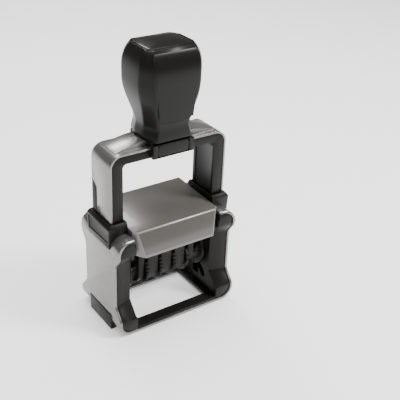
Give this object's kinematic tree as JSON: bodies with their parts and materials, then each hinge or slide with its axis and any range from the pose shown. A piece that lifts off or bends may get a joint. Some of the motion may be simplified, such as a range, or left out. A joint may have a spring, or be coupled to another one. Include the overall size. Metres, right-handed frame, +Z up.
{
  "type": "self inking stamp",
  "caption": "Self-inking date stamp with a palm handle on a sliding bracket, a carrier that turns over as it is pressed, date wheels and an ink cassette under a smoked hood.",
  "frame": {"origin": "middle of the underside, on the table", "axes": "+Z up along the handle, -Y to the front where the lock button is, +X to the right seen from the front"},
  "size_m": [0.071, 0.0416, 0.1462],
  "materials": {
    "silver_paint": "satin silver paint",
    "black_plastic": "fine matte",
    "grip_plastic": "soft satin",
    "panel_plastic": "satin gloss",
    "foot_rubber": "matte",
    "smoke_plastic": "smoke-tinted, glossy",
    "card": "plain card",
    "steel": "bright",
    "ink_foam": "ink-soaked foam",
    "plate_alloy": "plain",
    "print_rubber": "matte",
    "band_rubber": "matte"
  },
  "bodies": {
    "frame": {"frame_shell": "silver_paint", "side_frame_left": "black_plastic", "side_frame_right": "black_plastic", "base_plate": "black_plastic", "leg_guide_left": "black_plastic", "leg_guide_right": "black_plastic", "side_foot_left": "black_plastic", "side_foot_right": "black_plastic", "rubber_foot_front_left": "foot_rubber", "rubber_foot_front_right": "foot_rubber", "rubber_foot_back_left": "foot_rubber", "rubber_foot_back_right": "foot_rubber", "clear_cover": "smoke_plastic", "cover_card": "card", "return_spring_left": "steel", "return_spring_right": "steel"},
    "ink_pad": {"pad_tray": "black_plastic", "ink_foam": "ink_foam"},
    "bracket": {"bracket_shell": "silver_paint", "bracket_liner": "black_plastic", "leg_insert_left": "black_plastic", "leg_insert_right": "black_plastic", "handle_saddle": "black_plastic", "handle_body": "grip_plastic", "handle_front_panel": "panel_plastic", "handle_back_panel": "panel_plastic", "handle_cap": "panel_plastic", "handle_screw_left": "steel", "handle_screw_right": "steel", "pivot_pin_left": "steel", "pivot_pin_right": "steel"},
    "lock": {"lock_button": "panel_plastic"},
    "carrier": {"carrier_cheek_left": "black_plastic", "carrier_cheek_right": "black_plastic", "carrier_bed": "black_plastic", "text_plate": "plate_alloy", "text_rubber": "print_rubber", "band_frame": "black_plastic", "wheel_axle": "steel", "band_day": "band_rubber", "band_month": "band_rubber", "band_year": "band_rubber", "cam_pin_left": "steel", "cam_pin_right": "steel"},
    "day": {"wheel_day": "black_plastic"},
    "month": {"wheel_month": "black_plastic"},
    "year": {"wheel_year": "black_plastic"}
  },
  "joints": [
    {"name": "bracket_slide", "type": "slide", "parent": "frame", "child": "bracket", "axis": [0, 0, -1], "range_m": [0, 0.0291], "stiffness_N_per_m": 300, "springref_m": -0.02, "deforming": ["return_spring_left", "return_spring_right"]},
    {"name": "carrier_turn", "type": "hinge", "parent": "bracket", "child": "carrier", "pos_m": [0, 0, 0.0402], "axis": [-1, 0, 0], "range_deg": [0, 180.5]},
    {"name": "day_wheel_turn", "type": "hinge", "parent": "carrier", "child": "day", "pos_m": [-0.009, 0, 0.026], "axis": [1, 0, 0], "continuous": true},
    {"name": "month_wheel_turn", "type": "hinge", "parent": "carrier", "child": "month", "pos_m": [-0.0008, 0, 0.026], "axis": [1, 0, 0], "continuous": true},
    {"name": "year_wheel_turn", "type": "hinge", "parent": "carrier", "child": "year", "pos_m": [0.0074, 0, 0.026], "axis": [1, 0, 0], "continuous": true},
    {"name": "ink_pad_slide", "type": "slide", "parent": "frame", "child": "ink_pad", "axis": [0, 1, 0], "range_m": [0, 0.04]},
    {"name": "lock_press", "type": "slide", "parent": "bracket", "child": "lock", "axis": [0, 1, 0], "range_m": [0, 0.0012], "stiffness_N_per_m": 300, "springref_m": -0.001}
  ],
  "couplings": [
    {"joint": "carrier_turn", "follows": "bracket_slide", "rad_per_m": 107.96}
  ]
}
